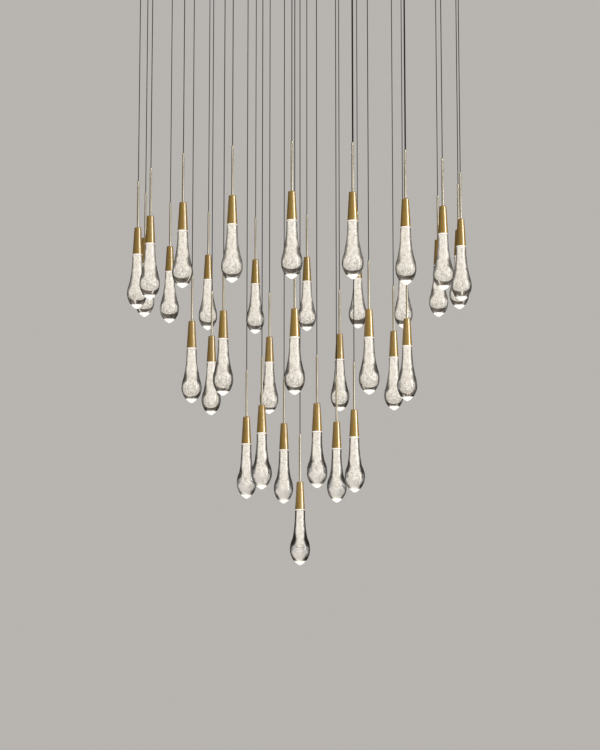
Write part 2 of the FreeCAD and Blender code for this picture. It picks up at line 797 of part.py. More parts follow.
def make_light_ring():
    """A clear plastic ring between cone and glass, round the glass's spigot, which glows."""
    body = new_body("bottom_light_ring", height=f"{CONE_FOOT} - Sizes.light_ring_thickness")
    inner = "Sizes.spigot_diameter / 2 + Sizes.thread_gap"
    corners = [
        (inner, "0"),
        ("Sizes.light_ring_diameter / 2", "0"),
        ("Sizes.light_ring_diameter / 2", "Sizes.light_ring_thickness"),
        (inner, "Sizes.light_ring_thickness"),
    ]
    turned(body, "light_ring_turn", corners)
    return body


def circles_meet(first, first_reach, second, second_reach):
    """The point at these distances from two centres, left of the way from the first to the second."""
    between = second - first
    along = (between.Length**2 + first_reach**2 - second_reach**2) / (2 * between.Length)
    aside = math.sqrt(first_reach**2 - along**2)
    way = FreeCAD.Vector(between).normalize()
    return first + way * along + FreeCAD.Vector(-way.y, way.x, 0) * aside


def make_glass_drop(name, cut):
    """A solid cast glass drop, whose outline is five arcs that run into each other, from nose to neck."""
    length = "Sizes.glass_length"
    foot = f"{CONE_FOOT} - Sizes.light_ring_thickness - {length}"
    body = new_body(name, height=foot)
    sketch = new_sketch(body, f"{cut}_glass_outline", "XZ_Plane")
    under_reach = value("Sizes.bulb_under_arc_radius")
    bulb_reach = value("Sizes.bulb_upper_arc_radius")
    shoulder_reach = value(f"Sizes.{cut}_shoulder_arc_radius")
    neck_reach = value(f"Sizes.{cut}_neck_arc_radius")
    neck = value("Sizes.neck_diameter") / 2
    top = value(length)
    under_offset = "Sizes.bulb_under_arc_radius - Sizes.bulb_diameter / 2"
    under = FreeCAD.Vector(-value(under_offset), value("Sizes.bulb_height"), 0)
    widest = FreeCAD.Vector(value("Sizes.bulb_diameter / 2"), under.y, 0)
    bulb = FreeCAD.Vector(widest.x - bulb_reach, under.y, 0)
    neck_centre = FreeCAD.Vector(neck + neck_reach, top, 0)
    shoulder = circles_meet(bulb, bulb_reach + shoulder_reach, neck_centre, neck_reach - shoulder_reach)
    nose_height = (under_reach**2 - under.x**2 - under.y**2) / (2 * (under_reach - under.y))
    nose = FreeCAD.Vector(0, nose_height, 0)
    nose_end = nose + (nose - under).normalize() * nose_height
    bulb_end = bulb + (shoulder - bulb).normalize() * bulb_reach
    shoulder_end = shoulder + (shoulder - neck_centre).normalize() * shoulder_reach
    neck_end = FreeCAD.Vector(neck, top, 0)
    spigot = value("Sizes.spigot_diameter") / 2
    spigot_top = top + value("Sizes.light_ring_thickness + Sizes.spigot_height")
    tip = FreeCAD.Vector(0, 0, 0)

    def arc(centre, reach, start, end):
        """An arc that runs anticlockwise from start to end."""
        circle = Part.Circle(centre, FreeCAD.Vector(0, 0, 1), reach)
        angles = [math.atan2(p.y - centre.y, p.x - centre.x) for p in (start, end)]
        if angles[1] < angles[0]:
            angles[1] += 2 * math.pi
        return Part.ArcOfCircle(circle, *angles)

    corners = [
        neck_end,
        FreeCAD.Vector(spigot, top, 0),
        FreeCAD.Vector(spigot, spigot_top, 0),
        FreeCAD.Vector(0, spigot_top, 0),
        tip,
    ]
    sketch.addGeometry(arc(nose, nose_height, tip, nose_end), False)
    sketch.addGeometry(arc(under, under_reach, nose_end, widest), False)
    sketch.addGeometry(arc(bulb, bulb_reach, widest, bulb_end), False)
    sketch.addGeometry(arc(shoulder, shoulder_reach, shoulder_end, bulb_end), False)
    sketch.addGeometry(arc(neck_centre, neck_reach, neck_end, shoulder_end), False)
    for start, end in zip(corners, corners[1:]):
        sketch.addGeometry(Part.LineSegment(start, end), False)
    constrain = sketch.addConstraint
    constrain(Sketcher.Constraint("Coincident", 0, 1, -1, 1))
    constrain(Sketcher.Constraint("PointOnObject", 0, 3, -2))
    constrain(Sketcher.Constraint("Tangent", 0, 2, 1, 1))
    constrain(Sketcher.Constraint("Horizontal", 1, 3, 1, 2))
    constrain(Sketcher.Constraint("Tangent", 1, 2, 2, 1))
    constrain(Sketcher.Constraint("Tangent", 2, 2, 3, 2))
    constrain(Sketcher.Constraint("Tangent", 3, 1, 4, 2))
    constrain(Sketcher.Constraint("Coincident", 4, 1, 5, 1))
    for n in (5, 6, 7):
        constrain(Sketcher.Constraint("Coincident", n, 2, n + 1, 1))
    constrain(Sketcher.Constraint("Coincident", 8, 2, -1, 1))
    bind(sketch, Sketcher.Constraint("Radius", 1, under_reach), "Sizes.bulb_under_arc_radius")
    bind(sketch, Sketcher.Constraint("Radius", 2, bulb_reach), "Sizes.bulb_upper_arc_radius")
    bind(sketch, Sketcher.Constraint("Radius", 3, shoulder_reach), f"Sizes.{cut}_shoulder_arc_radius")
    bind(sketch, Sketcher.Constraint("Radius", 4, neck_reach), f"Sizes.{cut}_neck_arc_radius")
    bind(sketch, Sketcher.Constraint("DistanceX", 1, 3, -1, 1, -under.x), under_offset)
    bind(sketch, Sketcher.Constraint("DistanceY", -1, 1, 1, 3, under.y), "Sizes.bulb_height")
    bind(sketch, Sketcher.Constraint("DistanceY", -1, 1, 4, 3, top), length)
    pin_point(sketch, 5, 1, "Sizes.neck_diameter / 2", length)
    pin_point(sketch, 6, 1, "Sizes.spigot_diameter / 2", length)
    top_height = f"{length} + Sizes.light_ring_thickness + Sizes.spigot_height"
    pin_point(sketch, 7, 1, "Sizes.spigot_diameter / 2", top_height)
    pin_point(sketch, 8, 1, "0", top_height)
    doc.recompute()
    turn_sketch(body, f"{cut}_glass_turn", sketch)
    return body


# The other pendants: the same five pieces, copied to their places in the tiers. The outer two tiers have
# drops that widen evenly from the neck down, and the third tier and the bottom have long-necked ones.


def make_pendants(tier, pieces):
    made = []
    for n, (x, y, trim) in enumerate(tier_places(tier), 1):
        height = f"Sizes.bottom_drop - Sizes.tier_{tier}_drop + {trim}"
        made.append(group(f"tier_{tier}_pendant_{n:02d}", pieces, x=x, y=y, height=height))
    return made


def check(parts):
    """Stops the build if anything in the document failed, or a part isn't sound."""
    for item in doc.Objects:
        if "Invalid" in item.State or "Error" in item.State:
            raise RuntimeError(f"{item.Name} failed: {item.State}")
    for part in parts:
        if part.Shape.isNull() or not part.Shape.isValid():
            raise RuntimeError(f"{part.Label} isn't sound")


def report(parts):
    """Prints what each part holds, and compares the cables' volume with section times length."""
    for part in parts:
        solids = part.Shape.Solids
        print(f"{part.Label}: {len(solids)} solids, {part.Shape.Volume:.0f} mm3")
        if part.Label.endswith(("cables", "cable")):
            section = math.pi * value("Sizes.cable_diameter") ** 2 / 4
            run = sum(solid.BoundBox.ZLength for solid in solids)
            print(f"  {run:.1f} mm of cable in all, {section * run:.0f} mm3 by section times length")


def main():
    stem = make_stem()
    cone = make_cone()
    led_module = make_led_module()
    light_ring = make_light_ring()
    glass_drop = make_glass_drop("bottom_glass_drop", "necked")
    smooth_drop = make_glass_drop("smooth_glass_drop", "smooth")
    fittings = [stem, cone, led_module, light_ring]
    parts = [
        make_ceiling_plate(),
        make_supply_grommet(),
        make_canopy_pan(),
        make_canopy_studs(),
        make_dome_nuts(),
        make_cable_grips(),
        make_grip_nuts(),
        make_driver(1),
        make_driver(2),
        make_driver(3),
        make_driver_screws(),
        make_terminal_block(),
        make_earth_stud(),
        make_earth_nut(),
        make_loom(1, driver=1, inwards=True),
        make_loom(2, driver=2, inwards=True),
        make_loom(3, driver=3, inwards=False, reach_centre=True),
        make_bottom_cable(),
    ]
    for tier in TIER_COUNTS:
        parts.append(make_tier_cables(tier))
    parts += fittings + [glass_drop]
    parts += make_pendants(1, fittings + [smooth_drop])
    parts += make_pendants(2, fittings + [smooth_drop])
    parts += make_pendants(3, fittings + [glass_drop])
    doc.recompute()
    check(parts)
    report(parts)
    os.makedirs("parts", exist_ok=True)
    for part in parts:
        part.Shape.exportStep(f"parts/{part.Label}.step")


main()
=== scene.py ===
import json
import math
import random

import bmesh
import bpy
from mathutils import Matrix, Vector, noise


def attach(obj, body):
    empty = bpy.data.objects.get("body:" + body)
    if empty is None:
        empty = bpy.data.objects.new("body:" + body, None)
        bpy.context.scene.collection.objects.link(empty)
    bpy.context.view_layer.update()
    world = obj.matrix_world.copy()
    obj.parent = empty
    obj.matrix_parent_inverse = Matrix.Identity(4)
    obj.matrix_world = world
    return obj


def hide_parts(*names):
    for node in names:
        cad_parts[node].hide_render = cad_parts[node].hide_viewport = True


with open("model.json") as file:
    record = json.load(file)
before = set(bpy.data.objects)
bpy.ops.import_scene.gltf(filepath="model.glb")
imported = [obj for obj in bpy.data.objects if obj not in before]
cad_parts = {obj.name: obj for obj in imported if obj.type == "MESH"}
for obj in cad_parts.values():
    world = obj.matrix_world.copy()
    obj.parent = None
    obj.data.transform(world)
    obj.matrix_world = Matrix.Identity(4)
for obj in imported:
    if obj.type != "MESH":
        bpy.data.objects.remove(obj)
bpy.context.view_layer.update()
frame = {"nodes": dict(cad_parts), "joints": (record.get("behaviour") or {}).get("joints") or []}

# Ceiling plate
# A laser-cut disc of zinc-plated sheet steel, screwed flat to the ceiling; the studs and all the wiring are
# fixed to it. The plating has a faint crystal pattern, with dull rubbed patches from the workshop.


class Socket:
    """An output in a finish's node tree. Arithmetic on values adds the Math nodes it needs."""

    def __init__(self, tree, socket=None):
        self.tree = tree
        self.socket = socket

    def node(self, kind, settings=None, sockets=None, output=0):
        """Adds a node of one type: its settings come first, then the values or links of its sockets."""
        node = self.tree.nodes.new("ShaderNode" + kind)
        for name, setting in (settings or {}).items():
            if name == "stops":
                ramp = node.color_ramp
                for _ in setting[2:]:
                    ramp.elements.new(0.5)
                for stop, (position, colour) in zip(ramp.elements, setting):
                    stop.position = position
                    stop.color = (*colour, 1)
            else:
                setattr(node, name, setting)
        for name, value in (sockets or {}).items():
            if isinstance(value, Socket):
                self.tree.links.new(value.socket, node.inputs[name])
            else:
                node.inputs[name].default_value = value
        return Socket(self.tree, node.outputs[output])

    def maths(self, operation, first, second):
        return self.node("Math", {"operation": operation}, {0: first, 1: second})

    def __add__(self, other):
        return self.maths("ADD", self, other)

    __radd__ = __add__

    def __mul__(self, other):
        return self.maths("MULTIPLY", self, other)

    __rmul__ = __mul__

    def __sub__(self, other):
        return self.maths("SUBTRACT", self, other)

    def __rsub__(self, other):
        return self.maths("SUBTRACT", other, self)

    def between(self, first, second):
        """The colour this far, 0 to 1, on the way from the first colour to the second."""
        colours = [c if isinstance(c, Socket) else (*c, 1) for c in (first, second)]
        return self.node("Mix", {"data_type": "RGBA"}, {0: self, 6: colours[0], 7: colours[1]}, 2)

    def stretched(self, *scale):
        """Places, scaled, so that a pattern on them is drawn out along the axes with small numbers."""
        return self.node("VectorMath", {"operation": "MULTIPLY"}, {0: self, 1: scale})

    def grain(self, scale, detail=2.0):
        """Noise of 0 to 1 at these places."""
        return self.node("TexNoise", None, {"Vector": self, "Scale": scale, "Detail": detail})

    def steps(self, low, high):
        """0 below the low value and 1 above the high one, with a smooth rise between them."""
        return self.node(
            "MapRange",
            {"interpolation_type": "SMOOTHSTEP"},
            {"Value": self, "From Min": low, "From Max": high},
        )

    def raised(self, height, strength=0.5):
        """Normals of a surface that stands up by at most this height, in metres, where the value is 1."""
        return self.node("Bump", None, {"Height": self, "Strength": strength, "Distance": height})


def new_finish(name):
    """An empty finish, and the places on the piece, where its patterns start."""
    finish = bpy.data.materials.new(name)
    finish.use_nodes = True
    finish.node_tree.nodes.clear()
    return finish, Socket(finish.node_tree).node("TexCoord", output="Object")


def coat(shader):
    """Gives the finish this shader for its surface."""
    end = shader.tree.nodes.new("ShaderNodeOutputMaterial")
    shader.tree.links.new(shader.socket, end.inputs["Surface"])


def paint(finish, *nodes):
    """Puts a finish on pieces that come straight from the frame."""
    for name in nodes:
        mesh = frame["nodes"][name].data
        mesh.materials.clear()
        mesh.materials.append(finish)


zinc_steel, place = new_finish("zinc_steel")
crystals = place.node("TexVoronoi", None, {"Vector": place, "Scale": 60.0}, "Color").grain(3.0)
rubbed = place.grain(7.0, 5.0).steps(0.45, 0.7)
scratches = place.stretched(1, 0.03, 1).grain(900.0, 2.0)
coat(place.node(
    "BsdfPrincipled",
    None,
    {
        "Base Color": (0.6 * crystals + 0.4 * rubbed).between((0.34, 0.35, 0.36), (0.46, 0.47, 0.475)),
        "Metallic": 0.8,
        "Roughness": 0.50 + 0.10 * crystals + 0.08 * rubbed,
        "Normal": (scratches + 0.5 * crystals).raised(0.00004, 0.35),
    },
))
paint(zinc_steel, "ceiling_plate")

# Canopy pan
# A round pan of spun brass, satin brushed on the lathe and lacquered, so its fine lines run in circles. It
# closes the ceiling plate from below, and every cable comes out through its face.

BRASS = (0.58, 0.36, 0.038)
DULL_BRASS = (0.46, 0.28, 0.027)

pan_brass, place = new_finish("pan_brass")
reach = place.node("VectorMath", {"operation": "LENGTH"}, {0: place.stretched(1, 1, 0)}, "Value")
brushed = place.node("TexNoise", {"noise_dimensions": "1D"}, {"W": reach, "Scale": 1400.0, "Detail": 3.0})
clouded = place.grain(5.0, 4.0)
coat(place.node(
    "BsdfPrincipled",
    None,
    {
        "Base Color": (0.6 * clouded + 0.4 * brushed).between(DULL_BRASS, BRASS),
        "Metallic": 1.0,
        "Roughness": 0.36 + 0.12 * clouded + 0.06 * brushed,
        "Normal": brushed.raised(0.00003, 0.4),
        "Coat Weight": 1.0,
        "Coat Roughness": 0.2,
        "Coat IOR": 2.3,
    },
))
paint(pan_brass, "canopy_pan")

# Canopy studs and dome nuts
# Threaded steel studs, zinc plated, are welded under the plate. Six dome nuts, turned from brass and satin
# finished like the cones, are screwed on them from below and hold the pan up.

satin_brass, place = new_finish("satin_brass")
turned_lines = place.stretched(12, 12, 1).grain(240.0, 3.0)
fine_lines = place.stretched(0.02, 0.02, 1).grain(2600.0, 2.0)
handled = place.grain(24.0, 4.0)
coat(place.node(
    "BsdfPrincipled",
    None,
    {
        "Base Color": (0.5 * handled + 0.5 * fine_lines).between(DULL_BRASS, BRASS),
        "Metallic": 1.0,
        "Roughness": 0.56 + 0.10 * handled + 0.06 * fine_lines,
        "Normal": (fine_lines + 0.3 * turned_lines).raised(0.00002, 0.4),
        "Coat Weight": 1.0,
        "Coat Roughness": 0.15,
        "Coat IOR": 2.6,
    },
))
paint(zinc_steel, "canopy_studs")
paint(satin_brass, "canopy_dome_nuts")

# Supply grommet
# A moulded black rubber bush, snapped into the plate's middle hole, so that the edge of the steel can't cut
# the supply cable that comes out of the ceiling there.

grommet_rubber, place = new_finish("grommet_rubber")
bloom = place.grain(90.0, 4.0)
coat(place.node(
    "BsdfPrincipled",
    None,
    {
        "Base Color": bloom.between((0.018, 0.018, 0.019), (0.05, 0.049, 0.048)),
        "Roughness": 0.6 + 0.25 * bloom,
        "Normal": place.grain(2600.0).raised(0.00005, 0.4),
    },
))
paint(grommet_rubber, "supply_grommet")

# LED drivers, terminal block and earth stud
# Three drivers in moulded white cases are screwed under the plate, one for each loom, with a nylon terminal
# block for the supply and a plated earth stud with its nut.

driver_case, place = new_finish("driver_case")
yellowed = place.grain(9.0, 3.0)
coat(place.node(
    "BsdfPrincipled",
    None,
    {
        "Base Color": yellowed.between((0.70, 0.695, 0.67), (0.79, 0.79, 0.775)),
        "Roughness": 0.42 + 0.12 * place.grain(300.0),
        "Normal": place.grain(2200.0).raised(0.00004, 0.5),
    },
))
white_plastic, place = new_finish("white_plastic")
flow = place.stretched(1, 4, 1).grain(60.0, 3.0)
coat(place.node(
    "BsdfPrincipled",
    None,
    {
        "Base Color": flow.between((0.60, 0.595, 0.565), (0.70, 0.695, 0.67)),
        "Roughness": 0.34 + 0.15 * flow,
        "Normal": place.grain(1500.0).raised(0.00003, 0.4),
    },
))
paint(driver_case, "led_driver_1", "led_driver_2", "led_driver_3")
paint(zinc_steel, "driver_screws", "earth_stud", "earth_nut")
paint(white_plastic, "terminal_block")

# Wiring looms and cable grips
# The leads of each ring are bundled in a dark braided sleeve above the pan. A turned brass grip clamps each
# cable in the pan's face, and a plated lock nut holds the grip from inside.

braid, place = new_finish("dark_braid")
across = place.node("VectorRotate", {"rotation_type": "AXIS_ANGLE"}, {"Vector": place, "Angle": 0.8})
weave = across.node("TexChecker", None, {"Vector": across, "Scale": 2400.0}, "Fac")
worn = place.grain(40.0, 3.0)
coat(place.node(
    "BsdfPrincipled",
    None,
    {
        "Base Color": (0.35 * weave + 0.65 * worn).between((0.005, 0.005, 0.005), (0.014, 0.013, 0.012)),
        "Roughness": 0.5 + 0.2 * weave,
        "Specular IOR Level": 0.12,
        "Normal": weave.raised(0.00008, 0.4),
    },
))
paint(braid, "tier_1_loom", "tier_2_loom", "tier_3_loom")
paint(satin_brass, "cable_grips")
paint(zinc_steel, "grip_nuts")

# Cables
# Each pendant hangs on one thin dark cable with a braided cover, which carries both its weight and its
# current. It runs plumb from its grip into the mouth of the stem, pulled straight by the pendant.

MM = 0.001
CABLE_DIAMETER = 3 * MM
GRIP_TIP = -78 * MM
CABLE_IN_GRIP = 1 * MM
CABLE_IN_STEM = 1.5 * MM
STRAIGHT_END = 15 * MM

pivots = {joint["child"]: Vector(joint["pos_m"]) for joint in frame["joints"]}
cable_nodes = {
    "tier_1": "tier_1_cables",
    "tier_2": "tier_2_cables",
    "tier_3": "tier_3_cables",
    "bottom": "bottom_cable",
}


def tier_of(body):
    """The ring that a pendant hangs in, or bottom for the one in the middle."""
    return next(tier for tier in cable_nodes if body.startswith(tier))


for body, pivot in sorted(pivots.items()):
    run = bpy.data.curves.new(f"{body}_cable_line", "CURVE")
    run.dimensions = "3D"
    run.bevel_depth = CABLE_DIAMETER / 2
    run.bevel_resolution = 3
    run.resolution_u = 4
    heights = [
        GRIP_TIP + CABLE_IN_GRIP,
        GRIP_TIP - STRAIGHT_END,
        pivot.z + STRAIGHT_END,
        pivot.z - CABLE_IN_STEM,
    ]
    line = run.splines.new("NURBS")
    line.points.add(len(heights) - 1)
    for point, height in zip(line.points, heights):
        point.co = (pivot.x, pivot.y, height, 1)
    line.order_u = 3
    line.use_endpoint_u = True
    run.materials.append(braid)
    cable = bpy.data.objects.new(f"{body}_cable", run)
    bpy.context.scene.collection.objects.link(cable)
    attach(cable, "canopy")
    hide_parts(cable_nodes[tier_of(body)])

# Stems
# A drawn tube of pale satin brass. Its mouth is countersunk for the cable and crimped on it in two places,
# and its foot is screwed into the cone.

STEM_LENGTH = 167
STEM_INSERT = 12
STEM_RADIUS = 3.75
STEM_BORE = 2
STEM_EDGE = 1
MOUTH_RADIUS = 1.8
MOUTH_DEPTH = 14
COUNTERSINK_WIDTH = 0.5
COUNTERSINK_DEPTH = 0.6
THREAD_EDGE = 0.4
CRIMPS_BELOW_TOP = (11, 6)
CRIMP_DEPTH = 0.22
CONE_LENGTH = 96
PENDANT_DROP = (STEM_LENGTH + CONE_LENGTH) * MM


def arc(centre, radius, start, end, steps):
    """Points along an arc in (radius, height); the angles are in degrees from outwards, up being 90."""
    angles = [math.radians(start + (end - start) * n / steps) for n in range(steps + 1)]
    return [(centre[0] + radius * math.cos(a), centre[1] + radius * math.sin(a)) for a in angles]


def turned_mesh(name, profile, segments=48, closed=True, form=None):
    """The mesh that a profile of (radius, height) points in millimetres makes when it turns round Z.

    A closed profile ends where it starts; an open one starts and ends on the axis. A form moves each point.
    """
    mesh_maker = bmesh.new()
    rings = []
    for radius, height in profile:
        if radius < 1e-6:
            rings.append([mesh_maker.verts.new((0, 0, height * MM))])
            continue
        ring = []
        for n in range(segments):
            angle = 2 * math.pi * n / segments
            x, y = radius * math.sin(angle) * MM, -radius * math.cos(angle) * MM
            ring.append(mesh_maker.verts.new((x, y, height * MM)))
        rings.append(ring)
    pairs = list(zip(rings, rings[1:]))
    if closed:
        pairs.append((rings[-1], rings[0]))
    for lower, upper in pairs:
        for n in range(segments):
            m = (n + 1) % segments
            corners = [lower[n % len(lower)], lower[m % len(lower)]]
            corners += [upper[m % len(upper)], upper[n % len(upper)]]
            corners = list(dict.fromkeys(corners))
            if len(corners) > 2:
                mesh_maker.faces.new(corners)
    bmesh.ops.recalc_face_normals(mesh_maker, faces=mesh_maker.faces)
    if form:
        for vert in mesh_maker.verts:
            vert.co = form(vert.co)
    mesh = bpy.data.meshes.new(name)
    mesh_maker.to_mesh(mesh)
    mesh_maker.free()
    mesh.shade_smooth()
    return mesh


def sharp_edges(mesh, degrees=35):
    """Keeps the turned edges crisp where two faces meet at more than this angle."""
    mesh.set_sharp_from_angle(angle=math.radians(degrees))
    return mesh


def hang(piece_name, mesh, body, finish, bottom_node, turn=0):
    """Hangs a piece of a pendant in its place, with its origin at the foot of the cone.

    It stands for the pendant's one node. Only the bottom pendant has a node for each of its pieces.
    """
    piece = bpy.data.objects.new(f"{body}_{piece_name}", mesh)
    bpy.context.scene.collection.objects.link(piece)
    if not mesh.materials:
        mesh.materials.append(finish)
    piece.location = pivots[body] - Vector((0, 0, PENDANT_DROP))
    piece.rotation_euler.z = turn
    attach(piece, body)
    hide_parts(bottom_node if body == "bottom_pendant" else body)


stem_brass, place = new_finish("stem_brass")
drawn = place.stretched(1, 1, 0.02).grain(2200.0, 2.0)
worn = place.grain(30.0, 3.0)
coat(place.node(
    "BsdfPrincipled",
    None,
    {
        "Base Color": (0.5 * worn + 0.5 * drawn).between((0.50, 0.42, 0.27), (0.64, 0.56, 0.39)),
        "Metallic": 1.0,
        "Roughness": 0.38 + 0.08 * worn,
        "Normal": drawn.raised(0.00002, 0.4),
        "Coat Weight": 1.0,
        "Coat Roughness": 0.18,
        "Coat IOR": 2.3,
    },
))

stem_foot = CONE_LENGTH - STEM_INSERT
stem_top = CONE_LENGTH + STEM_LENGTH
stem_profile = [(STEM_BORE, stem_foot)]
stem_profile += [(STEM_RADIUS - THREAD_EDGE, stem_foot), (STEM_RADIUS, stem_foot + THREAD_EDGE)]
for below_top in CRIMPS_BELOW_TOP:
    crimp = stem_top - below_top
    stem_profile += [
        (STEM_RADIUS, crimp - 0.8),
        (STEM_RADIUS - CRIMP_DEPTH, crimp - 0.4),
        (STEM_RADIUS - CRIMP_DEPTH, crimp + 0.4),
        (STEM_RADIUS, crimp + 0.8),
    ]
stem_profile += arc((STEM_RADIUS - STEM_EDGE, stem_top - STEM_EDGE), STEM_EDGE, 0, 90, 5)
stem_profile += [(MOUTH_RADIUS + COUNTERSINK_WIDTH, stem_top), (MOUTH_RADIUS, stem_top - COUNTERSINK_DEPTH)]
stem_profile += [(MOUTH_RADIUS, stem_top - MOUTH_DEPTH), (STEM_BORE, stem_top - MOUTH_DEPTH - 1)]
stem_mesh = sharp_edges(turned_mesh("stem_tube", stem_profile, 32))
for body in sorted(pivots):
    hang("stem", stem_mesh, body, stem_brass, "bottom_stem")

# Cones
# A cap turned from solid brass, satin finished and lacquered: bored for the stem at its top, and hollow at
# its foot for the light source. Its top edge is rounded, and its foot has a fine broken edge.

CONE_TOP_RADIUS = 11.75
CONE_BASE_RADIUS = 17.25
CONE_EDGE = 3
FOOT_EDGE = 0.35
FLANK_POINTS = 8
SOCKET_RADIUS = 3.85
SOCKET_EDGE = 0.35
CAVITY_RADIUS = 14.5
CAVITY_DEPTH = 34
CAVITY_EDGE = 0.3

cone_slope = math.degrees(math.atan2(CONE_BASE_RADIUS - CONE_TOP_RADIUS, CONE_LENGTH))
edge_height = CONE_LENGTH - CONE_EDGE
flank = CONE_TOP_RADIUS + (CONE_BASE_RADIUS - CONE_TOP_RADIUS) * CONE_EDGE / CONE_LENGTH
edge_centre = flank - CONE_EDGE / math.cos(math.radians(cone_slope))
cone_profile = [(CAVITY_RADIUS, CAVITY_EDGE), (CAVITY_RADIUS + CAVITY_EDGE, 0)]
cone_profile += [(CONE_BASE_RADIUS - FOOT_EDGE, 0)]
for n in range(FLANK_POINTS):
    height = FOOT_EDGE + (edge_height - FOOT_EDGE - 1) * n / (FLANK_POINTS - 1)
    taper = (CONE_BASE_RADIUS - CONE_TOP_RADIUS) * height / CONE_LENGTH
    cone_profile.append((CONE_BASE_RADIUS - taper, height))
cone_profile += arc((edge_centre, edge_height), CONE_EDGE, cone_slope, 90, 8)
cone_profile += [(SOCKET_RADIUS + SOCKET_EDGE, CONE_LENGTH), (SOCKET_RADIUS, CONE_LENGTH - SOCKET_EDGE)]
cone_profile += [(SOCKET_RADIUS, CONE_LENGTH - STEM_INSERT), (STEM_BORE, CONE_LENGTH - STEM_INSERT)]
cone_profile += [(STEM_BORE, CAVITY_DEPTH), (CAVITY_RADIUS, CAVITY_DEPTH)]
cone_mesh = sharp_edges(turned_mesh("brass_cone", cone_profile, 64))
for body in sorted(pivots):
    hang("cone", cone_mesh, body, satin_brass, "bottom_cone")

# LED modules
# A turned aluminium slug with cooling grooves, pressed into the cone, that carries the light source behind
# a small domed lens and shines down into the glass.

bare_aluminium, place = new_finish("bare_aluminium")
tool_marks = place.stretched(0.02, 0.02, 1).grain(1800.0, 2.0)
coat(place.node(
    "BsdfPrincipled",
    None,
    {
        "Base Color": tool_marks.between((0.66, 0.67, 0.68), (0.80, 0.81, 0.82)),
        "Metallic": 1.0,
        "Roughness": 0.26 + 0.14 * tool_marks,
        "Normal": tool_marks.raised(0.00003, 0.5),
    },
))

LED_FOOT = 6
LED_TOP = 30
LED_RADIUS = 14.3
LED_EDGE = 0.3
LENS_HEIGHT = 2
GROOVES = (12, 16, 20, 24)
GROOVE_RADIUS = 12.6

lens_rim = LED_FOOT + LENS_HEIGHT
led_profile = [(0, LED_FOOT), (4, LED_FOOT + 0.2), (7, LED_FOOT + 0.9), (9, lens_rim)]
led_profile += [(LED_RADIUS - LED_EDGE, lens_rim), (LED_RADIUS, lens_rim + LED_EDGE)]
for groove in GROOVES:
    led_profile += [(LED_RADIUS, groove - 1), (GROOVE_RADIUS, groove - 1)]
    led_profile += [(GROOVE_RADIUS, groove + 1), (LED_RADIUS, groove + 1)]
led_profile += [(LED_RADIUS, LED_TOP - LED_EDGE), (LED_RADIUS - LED_EDGE, LED_TOP), (0, LED_TOP)]
led_mesh = sharp_edges(turned_mesh("led_slug", led_profile, 40, closed=False))
for body in sorted(pivots):
    hang("led", led_mesh, body, bare_aluminium, "bottom_led_module")

# Light rings
# A thin ring of frosted clear plastic between cone and glass. It is a little wider than the cone, and the
# light source makes it glow all round.

RING_RADIUS = 17.75
RING_INNER = 14.1
RING_THICKNESS = 4
RING_EDGE = 0.7

clear_ring, place = new_finish("clear_ring")
frost = place.grain(700.0, 2.0)
# Painted shade: the ring's colour and its glow, which is painted light given as emission, dim where the
# ring is seen edge-on.
painted_ring_falloff = 1 - 0.85 * place.node("LayerWeight", None, {"Blend": 0.5}, "Facing")
painted_ring_glow = (painted_ring_falloff * (0.85 + 0.15 * frost)).between((0.10, 0.085, 0.065), (1.0, 0.95, 0.87))
coat(place.node(
    "BsdfPrincipled",
    None,
    {
        "Base Color": painted_ring_glow,
        "Roughness": 0.35 + 0.15 * frost,
        "Normal": frost.raised(0.00003, 0.4),
        "Emission Color": painted_ring_glow,
        "Emission Strength": 0.5,
    },
))

ring_profile = [(RING_INNER, -RING_THICKNESS), (RING_RADIUS - RING_EDGE, -RING_THICKNESS)]
ring_profile += arc((RING_RADIUS - RING_EDGE, RING_EDGE - RING_THICKNESS), RING_EDGE, -90, 0, 4)[1:]
ring_profile += arc((RING_RADIUS - RING_EDGE, -RING_EDGE), RING_EDGE, 0, 90, 4)
ring_profile += [(RING_INNER, 0)]
ring_mesh = sharp_edges(turned_mesh("light_ring", ring_profile, 64))
for body in sorted(pivots):
    hang("light_ring", ring_mesh, body, clear_ring, "bottom_light_ring")

# Glass drops
# Solid clear glass, cast by hand with neck and bulb in one piece. In the outer two rings it widens evenly
# into the bulb; the third ring and the bottom drop have a straight neck and a sudden shoulder. Where the
# glass is seen edge-on a dark line is painted round it, painted shade for the dark surroundings the glass
# bends into view; it is darkest at the shoulder and under the bulb.

GLASS_LENGTH = 190
GLASS_TIP = -RING_THICKNESS - GLASS_LENGTH
NECK_RADIUS = 17.5
BULB_RADIUS = 36
BULB_HEIGHT = 54
UNDER_ARC = 60
UPPER_ARC = 80
SPIGOT_RADIUS = 14
SPIGOT_HEIGHT = 6
NOSE_HEIGHT = 14
NOSE_POINTS = 14
OUTLINE_STEP = 2
NECK_EDGE = 0.5
DENTS_PER_METRE = 24
RIPPLES_PER_METRE = 70


def circles_meet(first, first_reach, second, second_reach):
    """The point at these distances from two centres, left of the way from the first to the second."""
    way = second - first
    along = (way.length**2 + first_reach**2 - second_reach**2) / (2 * way.length)
    aside = math.sqrt(first_reach**2 - along**2)
    way.normalize()
    return first + way * along + Vector((-way.y, way.x)) * aside


